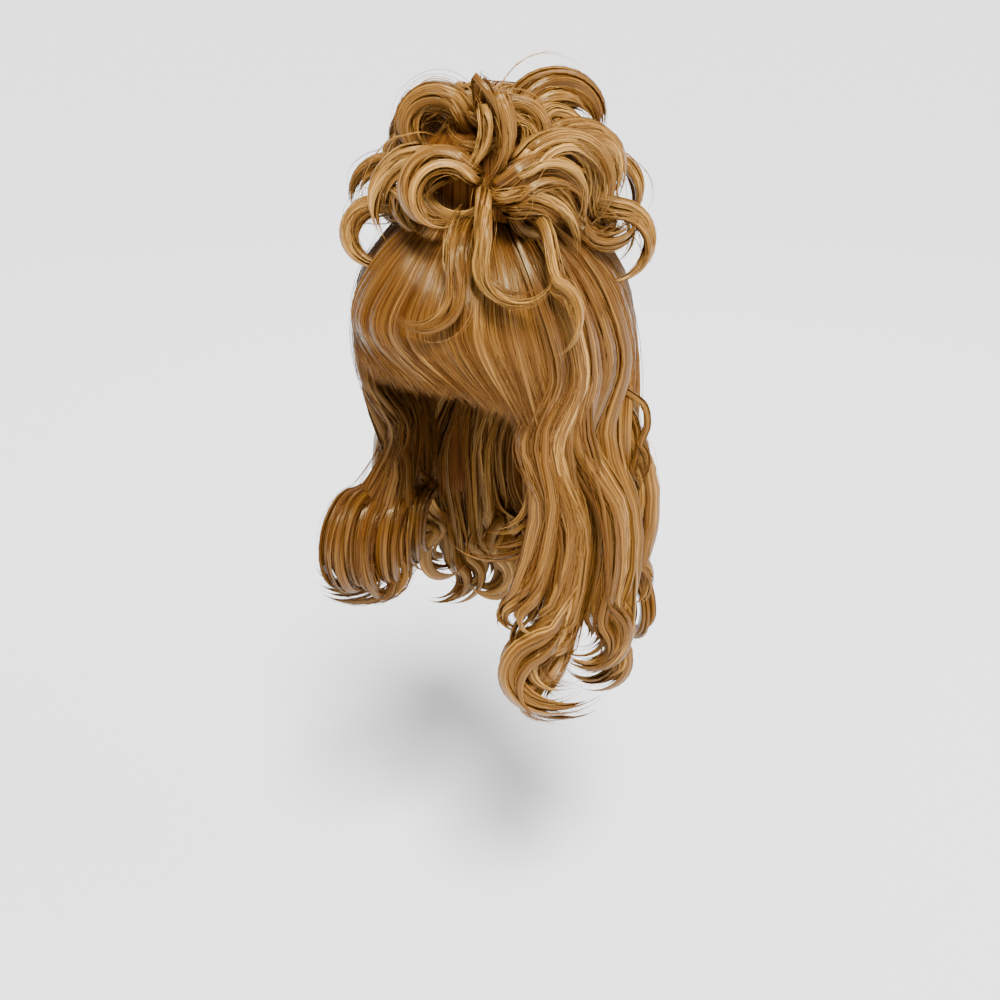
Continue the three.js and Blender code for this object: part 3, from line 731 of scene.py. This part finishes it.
def fringe_strands(bundle):
    plan = FRINGE_STRANDS
    count = plan["count"]
    across = rng.uniform(*FRINGE_ACROSS, count)
    which = np.floor((across - FRINGE_ACROSS[0]) * plan["clumps"]).astype(int)
    bump = sum(np.sin(across * rate + shift) * height for rate, shift, height in FRINGE_BUMPS)
    stops = fringe_stops(across, bump * FRINGE_BUMP_LIFT + rng.uniform(*plan["lift"], count))
    stops = drifted(stops, FRINGE_STRAND_DRIFT)
    edge = np.sin(across * FRINGE_EDGE_RATE) * FRINGE_EDGE
    stops[:, 3, 2] += edge + rng.normal(0, plan["ends"], count) + frayed(across)
    paths = swept_paths(stops, plan["steps"])
    roll = rng.uniform(0, math.pi, count)[:, None, None]
    out = out_of_head(paths)
    facing = out * np.cos(roll) + np.cross(UP, out) * np.sin(roll)
    girth = plan["radius"] * rng.uniform(*STRAND_GIRTH, count)
    columns = tone_columns(which, count, bundle.tone)
    bundle.add(clear_of_head(paths, STRAND_CLEAR), facing, girth, columns)


def fringe_locks(locks, tone):
    """Flat sub-locks of the fringe, in layers and with ragged ends."""
    plan = FRINGE_LOCKS
    count = plan["count"]
    across = np.linspace(*FRINGE_ACROSS, count) + rng.uniform(-plan["shift"], plan["shift"], count)
    stops = fringe_stops(across, rng.uniform(*plan["lift"], count))
    stops = drifted(stops, FRINGE_LOCK_DRIFT)
    stops[:, 3, 2] += rng.uniform(*plan["ends"], count) + frayed(across)
    for path in swept_paths(stops, plan["steps"]):
        half = np.full(len(path), rng.uniform(*plan["half"]))
        clear = clear_of_head(path, STRAND_CLEAR)
        locks.flat(clear, out_of_head(path), half, tone, FRINGE_LOCK_TAPER, FRINGE_LOCK_TONES)


def fringe_body(body):
    plan = FRINGE_SHEET
    low, high = FRINGE_ACROSS[0] + plan["start"], FRINGE_ACROSS[1] - plan["stop"]
    across = np.linspace(low, high, plan["columns"])
    faces = []
    for lift in (plan["outer"], plan["inner"]):
        stops = fringe_stops(across, np.full(plan["columns"], lift))
        faces.append(swept_paths(stops, plan["steps"]).transpose(1, 0, 2)[:-1])
    body.slab(faces[0], clear_of_head(faces[1], CORE_CLEAR))


# The pile's heart, and loose curls and strands over it

HEART_GRID, HEART_POLE, HEART_SCALE = (48, 28), 89, 0.97
GOLDEN_TURN = 137.5
HEART_CURLS = dict(count=44, turn=12, rise=(-12, 86), out=(0.98, 1.1))
HEART_STRANDS = dict(count=10, clumps=4, radius=0.42, wander=0.18, frizz=0.5)
HEART_SUB_LOCKS = dict(count=6, size=0.33)
FLYAWAYS = dict(count=90, widest=40, size=(0.75, 1.1), start=60, sweep=(0.4, 1.0), lean=16, shift=3, face=26)
FLYAWAY_STRANDS = dict(count=2, clumps=2, radius=0.26, reach=(0.5, 1.5), wander=0.5, frizz=0.6)


def heart_body(body):
    turns, rises = HEART_GRID
    turn, rise = np.meshgrid(
        np.linspace(0, 360, turns, endpoint=False), np.linspace(HEART_POLE, -HEART_POLE, rises)
    )
    level = np.cos(np.radians(rise))
    points = np.stack([
        np.sin(np.radians(turn)) * level * HEART[0],
        -np.cos(np.radians(turn)) * level * HEART[1],
        np.sin(np.radians(rise)) * HEART[2],
    ], -1)
    body.wrap(clear_of_head(points * HEART_SCALE + HEART_MIDDLE, HEART_CLEAR), 0.0, 1.0)


def heart_curls(bundle, locks):
    """Loose curls that lie round the heart of the pile between the named ones."""
    plan = HEART_CURLS
    for i in range(plan["count"]):
        turn = i * GOLDEN_TURN + rng.uniform(-plan["turn"], plan["turn"])
        rise = mix(*plan["rise"], (i + 0.5) / plan["count"])
        level = math.cos(math.radians(rise))
        out = outwards(turn) * level * HEART[0] + UP * HEART[2] * math.sin(math.radians(rise))
        row = dict(
            wide=rng.uniform(18, 28),
            tall=rng.uniform(18, 28),
            start=rng.uniform(0, 360),
            sweep=rng.choice([-1, 1]) * rng.uniform(170, 330),
            lean=rise,
            drift=rng.uniform(-3, 8),
            shrink=rng.uniform(0.7, 1.05),
            rise=0,
            width=rng.uniform(9, 16),
            depth=rng.uniform(7, 11),
        )
        line = curl_guide(row, HEART_MIDDLE + out * rng.uniform(*plan["out"]), turn)
        bundle.follow(line, **HEART_STRANDS)
        locks.sub_locks(line, tone=bundle.tone, **HEART_SUB_LOCKS)


def flyaways(bundle):
    """Single fine strands that have sprung loose from the curls of the pile."""
    plan = FLYAWAYS
    table = [entry for entry in pile_rows() if entry[0]["wide"] < plan["widest"] and not entry[0]["rise"]]
    for i in range(plan["count"]):
        row, centre, face = table[i % len(table)]
        size = rng.uniform(*plan["size"])
        row = dict(
            row,
            wide=row["wide"] * size,
            tall=row["tall"] * size,
            start=row["start"] + rng.uniform(-plan["start"], plan["start"]),
            sweep=row["sweep"] * rng.uniform(*plan["sweep"]),
            lean=row["lean"] + rng.uniform(-plan["lean"], plan["lean"]),
        )
        centre = centre + rng.normal(0, plan["shift"], 3)
        line = curl_guide(row, centre, face + rng.uniform(-plan["face"], plan["face"]))
        bundle.follow(line, **FLYAWAY_STRANDS)


# Dressing a lock

LOOSE_WIDTH = 30.0
STRANDS_LEAST, CLUMPS_LEAST, STRANDS_A_CLUMP = 6, 5, 6
LOOSE_LEAST, STRANDS_A_LOOSE, LOOSE_GIRTH, LOOSE_REACH = 2, 12, 0.6, (1.0, 1.7)
LOOSE_WANDER, LOOSE_FRIZZ = 0.5, 0.7
MAIN_SUB_LOCKS = dict(count=13, size=0.36)
COPY_SUB_LOCKS = dict(count=4, size=0.38, reach=(0.3, 0.85))
COPY_STRAND_SHARE = 0.7
MAIN_RADIUS, CURTAIN_RADIUS = 0.38, 0.45
CURTAIN_SUB_LOCKS = dict(count=5, size=0.5)
WISP_SUB_LOCKS = dict(count=4, size=0.62)
STRAY_LINES, STRAY_SIZE, STRAY_SWEEP = 2, (0.92, 1.1), (0.6, 1.05)
STRAY_SHIFT, STRAY_TURN, STRAY_REACH = 4, 14, (0.6, 1.3)
STRAY_STRANDS = dict(count=3, clumps=1, radius=0.3, wander=0.4, frizz=0.6)


def loose_reach(line, reach):
    """How far strands stray from a lock, in its half sizes: less from the broad locks of the back."""
    hold = min(1.0, LOOSE_WIDTH / (2 * line["width"][0]))
    return reach[0] * hold, reach[1] * hold


def lock_strands(bundle, line, share, radius):
    """Strands of one lock, as many as its girth asks for, and a few that stray."""
    girth = math.sqrt(line["width"][0] * line["depth"][0])
    count = max(STRANDS_LEAST, int(share * girth))
    bundle.follow(line, count, max(CLUMPS_LEAST, count // STRANDS_A_CLUMP), radius)
    loose = max(LOOSE_LEAST, count // STRANDS_A_LOOSE)
    reach = loose_reach(line, LOOSE_REACH)
    bundle.follow(line, loose, loose, radius * LOOSE_GIRTH, reach, LOOSE_WANDER, LOOSE_FRIZZ)


def dress(bundle, body, locks, entry, make, share, copies, amount, spread, stray, twist):
    """One lock of the table: its core, its sub-locks, its strands and smaller copies round it."""
    row, centre, face = entry
    line = make(row, centre, face)
    body.core(line)
    locks.sub_locks(line, tone=bundle.tone, **MAIN_SUB_LOCKS)
    lock_strands(bundle, line, share, MAIN_RADIUS)
    for _ in range(copies):
        shift = outwards(face) * rng.uniform(-spread, spread) * row["width"] + rng.normal(0, stray, 3)
        copy = make(varied(row, amount), centre + shift, face + rng.uniform(-twist, twist))
        locks.sub_locks(copy, tone=bundle.tone, **COPY_SUB_LOCKS)
        lock_strands(bundle, copy, share * COPY_STRAND_SHARE, MAIN_RADIUS)
    for _ in range(STRAY_LINES):
        size = rng.uniform(*STRAY_SIZE)
        sweep = row["sweep"] * rng.uniform(*STRAY_SWEEP)
        stray_row = dict(row, wide=row["wide"] * size, tall=row["tall"] * size, sweep=sweep)
        stray_centre = centre + rng.normal(0, STRAY_SHIFT, 3)
        line = make(stray_row, stray_centre, face + rng.uniform(-STRAY_TURN, STRAY_TURN))
        bundle.follow(line, reach=loose_reach(line, STRAY_REACH), **STRAY_STRANDS)


def keep(made, node, material):
    """A finished piece: its material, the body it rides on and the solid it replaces."""
    made.data.materials.append(material)
    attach(made, "root")
    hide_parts(node)


# Materials

STREAK_LENGTH, STREAK_LOW, STREAK_HIGH = 3.0, 0.36, 0.64
MIDDLE_TONE, PAINTED_ROOT_SHADE_END = 0.5, 0.3
GOLD = (0.69, 0.368, 0.09)
GLOSS_TINT = (1.0, 0.8, 0.44, 1)
BUMP_HEIGHT = 0.001


def node_of(tree, kind, inputs, **settings):
    """A shader node with its settings, and for each input a value or the output that feeds it."""
    node = tree.nodes.new(kind)
    for name, value in settings.items():
        setattr(node, name, value)
    for label, value in inputs.items():
        if isinstance(value, bpy.types.NodeSocket):
            tree.links.new(value, node.inputs[label])
        else:
            node.inputs[label].default_value = value
    return node


def fibre_group():
    """Colour of hair by its tone and its place from root to tip, with painted shade at the roots and fine
    streaks along it.
    """
    group = bpy.data.node_groups.new("fibre_colour", "ShaderNodeTree")
    for label, kind, value in (
        ("Deep", "NodeSocketColor", (0.1, 0.034, 0.004, 1)),
        ("Middle", "NodeSocketColor", (0.26, 0.108, 0.013, 1)),
        ("Bright", "NodeSocketColor", (0.42, 0.2, 0.034, 1)),
        ("Streaks", "NodeSocketFloat", 40.0),
        ("Tone from columns", "NodeSocketFloat", 0.7),
        ("Painted root shade", "NodeSocketFloat", 0.5),
    ):
        socket = group.interface.new_socket(label, in_out="INPUT", socket_type=kind)
        socket.default_value = value
    for label, kind in (("Colour", "NodeSocketColor"), ("Streak", "NodeSocketFloat")):
        group.interface.new_socket(label, in_out="OUTPUT", socket_type=kind)
    given = group.nodes.new("NodeGroupInput").outputs

    def times(a, b):
        return node_of(group, "ShaderNodeMath", {0: a, 1: b}, operation="MULTIPLY").outputs[0]

    def spread(value, **limits):
        labels = {name.replace("_", " ").title(): limit for name, limit in limits.items()}
        return node_of(group, "ShaderNodeMapRange", {"Value": value, **labels}).outputs[0]

    def blend(share, a, b, kind="RGBA"):
        mixed = node_of(group, "ShaderNodeMix", {"Factor": share, "A": a, "B": b}, data_type=kind)
        return mixed.outputs["Result"]

    # Streaks run from root to tip: noise that is much finer across the hair than along it
    where = node_of(group, "ShaderNodeUVMap", {}, uv_map="OFBake")
    place = node_of(group, "ShaderNodeSeparateXYZ", {0: where.outputs["UV"]}).outputs
    across, along = times(place["X"], given["Streaks"]), times(place["Y"], STREAK_LENGTH)
    drawn_out = node_of(group, "ShaderNodeCombineXYZ", {"X": across, "Y": along})
    noise = node_of(
        group, "ShaderNodeTexNoise", {"Scale": 1.0, "Detail": 2.0, "Vector": drawn_out.outputs[0]}
    ).outputs["Fac"]
    streak = spread(noise, from_min=STREAK_LOW, from_max=STREAK_HIGH)

    # Tone picks between deep, middle and bright, and roots go back to deep as painted shade where the hair
    # starts under other hair
    tone = blend(given["Tone from columns"], streak, place["X"], "FLOAT")
    lower = blend(spread(tone, from_max=MIDDLE_TONE), given["Deep"], given["Middle"])
    whole = blend(spread(tone, from_min=MIDDLE_TONE), lower, given["Bright"])
    root = spread(place["Y"], from_max=PAINTED_ROOT_SHADE_END, to_min=1.0, to_max=0.0)
    shaded = blend(times(root, given["Painted root shade"]), whole, given["Deep"])
    node_of(group, "NodeGroupOutput", {"Colour": shaded, "Streak": noise})
    return group


FIBRE = fibre_group()


def bumped(tree, strength, height):
    inputs = {"Strength": strength, "Distance": BUMP_HEIGHT, "Height": height}
    return node_of(tree, "ShaderNodeBump", inputs).outputs[0]


def hair_material(name, deep, middle, bright, streaks, columns, roughness, gloss, bump):
    material = bpy.data.materials.new(name)
    material.use_nodes = True
    tree = material.node_tree
    shader = tree.nodes["Principled BSDF"]
    shader.inputs["Roughness"].default_value = roughness
    shader.inputs["Specular IOR Level"].default_value = gloss
    shader.inputs["Specular Tint"].default_value = GLOSS_TINT
    values = {
        "Deep": (*deep, 1),
        "Middle": (*middle, 1),
        "Bright": (*bright, 1),
        "Streaks": streaks,
        "Tone from columns": columns,
    }
    fibre = node_of(tree, "ShaderNodeGroup", values, node_tree=FIBRE)
    tree.links.new(fibre.outputs["Colour"], shader.inputs["Base Color"])
    if bump:
        tree.links.new(bumped(tree, bump, fibre.outputs["Streak"]), shader.inputs["Normal"])
    return material


strand_material = hair_material(
    "hair_strands",
    deep=(0.075, 0.017, 0.002),
    middle=(0.22, 0.093, 0.015),
    bright=GOLD,
    streaks=TONES * 0.9,
    columns=0.75,
    roughness=0.24,
    gloss=0.45,
    bump=0,
)
lock_material = hair_material(
    "hair_locks",
    deep=(0.035, 0.008, 0.001),
    middle=(0.17, 0.071, 0.012),
    bright=GOLD,
    streaks=600.0,
    columns=0.5,
    roughness=0.24,
    gloss=0.4,
    bump=0.6,
)
# Cores, sheets and the pile's heart are coloured far darker than the hair: painted shade of the depth
# between the locks.
painted_shade_under_material = hair_material(
    "hair_under_painted_shade",
    deep=(0.045, 0.01, 0.001),
    middle=(0.11, 0.034, 0.004),
    bright=(0.17, 0.064, 0.01),
    streaks=320.0,
    columns=0.0,
    roughness=0.6,
    gloss=0.15,
    bump=0.8,
)


def net_material():
    """A matte brown net in fine meshes, with bands where the wefts are sewn on."""
    material = bpy.data.materials.new("cap_net")
    material.use_nodes = True
    tree = material.node_tree
    shader = tree.nodes["Principled BSDF"]
    shader.inputs["Roughness"].default_value = 0.85
    where = node_of(tree, "ShaderNodeTexCoord", {}).outputs["Object"]
    wefts = node_of(
        tree,
        "ShaderNodeTexWave",
        {"Scale": 28.0, "Distortion": 1.2, "Detail Scale": 2.0, "Vector": where},
        wave_type="BANDS",
        bands_direction="Z",
    ).outputs["Fac"]
    meshes = node_of(
        tree, "ShaderNodeTexVoronoi", {"Scale": 420.0, "Vector": where}, feature="DISTANCE_TO_EDGE"
    )
    hole = node_of(tree, "ShaderNodeMapRange", {"From Max": 0.12, "Value": meshes.outputs["Distance"]})
    thread, gap = (0.19, 0.10, 0.045, 1), (0.075, 0.036, 0.015, 1)
    weave = {"Factor": hole.outputs[0], "A": thread, "B": gap}
    net = node_of(tree, "ShaderNodeMix", weave, data_type="RGBA")
    band = node_of(tree, "ShaderNodeMapRange", {"From Min": 0.75, "Value": wefts})
    sewn = node_of(
        tree,
        "ShaderNodeMix",
        {"Factor": band.outputs[0], "A": net.outputs["Result"], "B": (0.16, 0.07, 0.02, 1)},
        data_type="RGBA",
    )
    tree.links.new(sewn.outputs["Result"], shader.inputs["Base Color"])
    tree.links.new(bumped(tree, 0.6, wefts), shader.inputs["Normal"])
    return material


# Building the pieces

CAP_GRID = (64, 20)
CAP_TOP, CAP_LOWEST, CAP_HIGHEST, CAP_HALVINGS = 89.5, -80.0, 89.0, 40
BARREL_VARIETY, RINGLET_VARIETY = 0.8, 2.0


def cap_piece():
    """The cap as a smooth open dome, from its crown to its slanting edge."""
    turns = np.linspace(0, 360, CAP_GRID[0], endpoint=False)
    slope = (HAIRLINE_FRONT - NAPE) / (2 * HEAD[1])
    level = (HAIRLINE_FRONT + NAPE) / 2

    def wall(reach, shares):
        """Points from the crown down to the edge, which is found by halving."""
        size = HEAD + reach
        way = outwards(turns)
        low, high = np.full(len(turns), CAP_LOWEST), np.full(len(turns), CAP_HIGHEST)
        for _ in range(CAP_HALVINGS):
            middle = (low + high) / 2
            angle = np.radians(middle)
            above = np.sin(angle) * size[2] > level - slope * way[:, 1] * np.cos(angle) * size[1]
            high = np.where(above, middle, high)
            low = np.where(above, low, middle)
        rise = np.radians(mix(CAP_TOP, low[None, :], shares[:, None]))
        wide, deep = (way[:, i] * np.cos(rise) * size[i] for i in (0, 1))
        return np.stack([wide, deep, np.sin(rise) * size[2]], -1)

    down = np.linspace(0, 1, CAP_GRID[1])
    body = Body()
    body.wrap(np.concatenate([wall(CAP_WALL, down), wall(0.0, down[::-1])]), 0.0, 1.0)
    return body.mesh("cap_dome")


def keep_hair(node, bundle, locks, body):
    keep(bundle.mesh(node + "_hair"), node, strand_material)
    keep(locks.mesh(node + "_locks"), node, lock_material)
    keep(body.mesh(node + "_under"), node, painted_shade_under_material)


FALLS = (
    dict(
        side="left", table=placed_rows(LEFT_FALL), bottom=SIDE_BOTTOM, wisps=LEFT_WISPS,
        tone=0.27, share=1.8, copies=6, spread=0.35, stray=5, twist=16,
    ),
    # The right fall's low tone is painted shade: it darkens the fall that hangs in shadow at the side.
    dict(
        side="right", table=placed_rows(RIGHT_FALL), bottom=SIDE_BOTTOM, wisps=RIGHT_WISPS,
        tone=-0.04, share=2.0, copies=7, spread=0.12, stray=3, twist=14,
    ),
    dict(
        side="back", table=back_rows(), bottom=BACK_BOTTOM, wisps=[],
        tone=0.36, share=1.2, copies=0, spread=0, stray=0, twist=0,
    ),
)
# The fringe's lower tone is painted shade, for the fringe faces away from the light; the pile's tone is
# higher.
FRINGE_TONE, PILE_TONE = 0.18, 0.47
PILE_DRESS = dict(share=1.4, copies=3, amount=1.2, spread=0.35, stray=3.2, twist=16)


def build_fall(fall):
    bundle, body, locks = Bundle(fall["tone"]), Body(), Body()
    share = fall["share"]
    sheet_body(body, SHEET_TURNS[fall["side"]], fall["bottom"])
    plan = {name: fall[name] for name in ("share", "copies", "spread", "stray", "twist")}
    for entry in fall["table"]:
        amount = BARREL_VARIETY if entry[0].get("face") else RINGLET_VARIETY
        dress(bundle, body, locks, entry, hanging_guide, amount=amount, **plan)
    if fall["side"] == "back":
        for entry in curtain_rows():
            line = hanging_guide(*entry)
            locks.sub_locks(line, tone=bundle.tone, **CURTAIN_SUB_LOCKS)
            lock_strands(bundle, line, share, CURTAIN_RADIUS)
    for entry in placed_rows(fall["wisps"]):
        line = hanging_guide(*entry)
        locks.sub_locks(line, tone=bundle.tone, **WISP_SUB_LOCKS)
        lock_strands(bundle, line, share, MAIN_RADIUS)
    keep_hair(fall["side"] + "_fall", bundle, locks, body)


def build_fringe():
    bundle, body, locks = Bundle(FRINGE_TONE), Body(), Body()
    fringe_strands(bundle)
    fringe_locks(locks, bundle.tone)
    fringe_body(body)
    keep_hair("fringe", bundle, locks, body)


def build_pile():
    bundle, body, locks = Bundle(PILE_TONE), Body(), Body()
    heart_body(body)
    for entry in pile_rows():
        dress(bundle, body, locks, entry, curl_guide, **PILE_DRESS)
    heart_curls(bundle, locks)
    flyaways(bundle)
    keep_hair("updo", bundle, locks, body)


keep(cap_piece(), "cap", net_material())
for fall in FALLS:
    build_fall(fall)
build_fringe()
build_pile()


# Floor, light and camera, in metres

FLOOR_HALF, FLOOR_UP = 30.0, -0.6
FLOOR_COLOUR, FLOOR_ROUGHNESS = (0.95, 0.95, 0.95, 1), 0.9
SKY_STRENGTH = 0.47
LIGHT_AIM = Vector((0, 0, -0.02))
SUN_PLACE, SUN_ANGLE, SUN_STRENGTH = (0.9, -1.15, 1.9), math.radians(17), 8.7
PANELS = (("side", (2.0, 0.2, 0.9), 1.2, 24), ("back", (-0.8, 1.8, 1.6), 1.2, 20))
CAMERA_TURN, CAMERA_RISE, CAMERA_DISTANCE = math.radians(30), math.radians(16), 1.138
CAMERA_AIM_RIGHT, CAMERA_AIM_UP = 0.015, -0.146
SENSOR_WIDTH, LENS = 36, 53.28


def aimed(name, data, place, aim):
    """A light or a camera at a place, turned to what it aims at."""
    made = bpy.data.objects.new(name, data)
    made.location = place
    made.rotation_euler = (aim - Vector(place)).to_track_quat("-Z", "Y").to_euler()
    bpy.context.scene.collection.objects.link(made)
    return made


def floor():
    mesh = bpy.data.meshes.new("floor")
    corners = [(x * FLOOR_HALF, y * FLOOR_HALF, FLOOR_UP) for x, y in ((-1, -1), (1, -1), (1, 1), (-1, 1))]
    mesh.from_pydata(corners, [], [(0, 1, 2, 3)])
    made = bpy.data.objects.new("floor", mesh)
    bpy.context.scene.collection.objects.link(made)
    material = bpy.data.materials.new("floor_pale")
    material.use_nodes = True
    shader = material.node_tree.nodes["Principled BSDF"]
    shader.inputs["Base Color"].default_value = FLOOR_COLOUR
    shader.inputs["Roughness"].default_value = FLOOR_ROUGHNESS
    mesh.materials.append(material)


def lights():
    world = bpy.data.worlds.new("studio")
    bpy.context.scene.world = world
    world.use_nodes = True
    sky = world.node_tree.nodes["Background"]
    sky.inputs["Color"].default_value = (1, 1, 1, 1)
    sky.inputs["Strength"].default_value = SKY_STRENGTH
    sun = bpy.data.lights.new("key", "SUN")
    sun.angle = SUN_ANGLE
    sun.energy = SUN_STRENGTH
    aimed("key", sun, SUN_PLACE, LIGHT_AIM)
    for name, place, size, power in PANELS:
        panel = bpy.data.lights.new(name, "AREA")
        panel.size = size
        panel.energy = power
        aimed(name, panel, place, LIGHT_AIM)


def camera():
    level = math.cos(CAMERA_RISE)
    way = Vector((math.sin(CAMERA_TURN) * level, -math.cos(CAMERA_TURN) * level, math.sin(CAMERA_RISE)))
    right = Vector((math.cos(CAMERA_TURN), math.sin(CAMERA_TURN), 0))
    data = bpy.data.cameras.new("camera")
    data.sensor_width = SENSOR_WIDTH
    data.lens = LENS
    aim = right * CAMERA_AIM_RIGHT + Vector((0, 0, CAMERA_AIM_UP))
    bpy.context.scene.camera = aimed("camera", data, way * CAMERA_DISTANCE, aim)


floor()
lights()
camera()
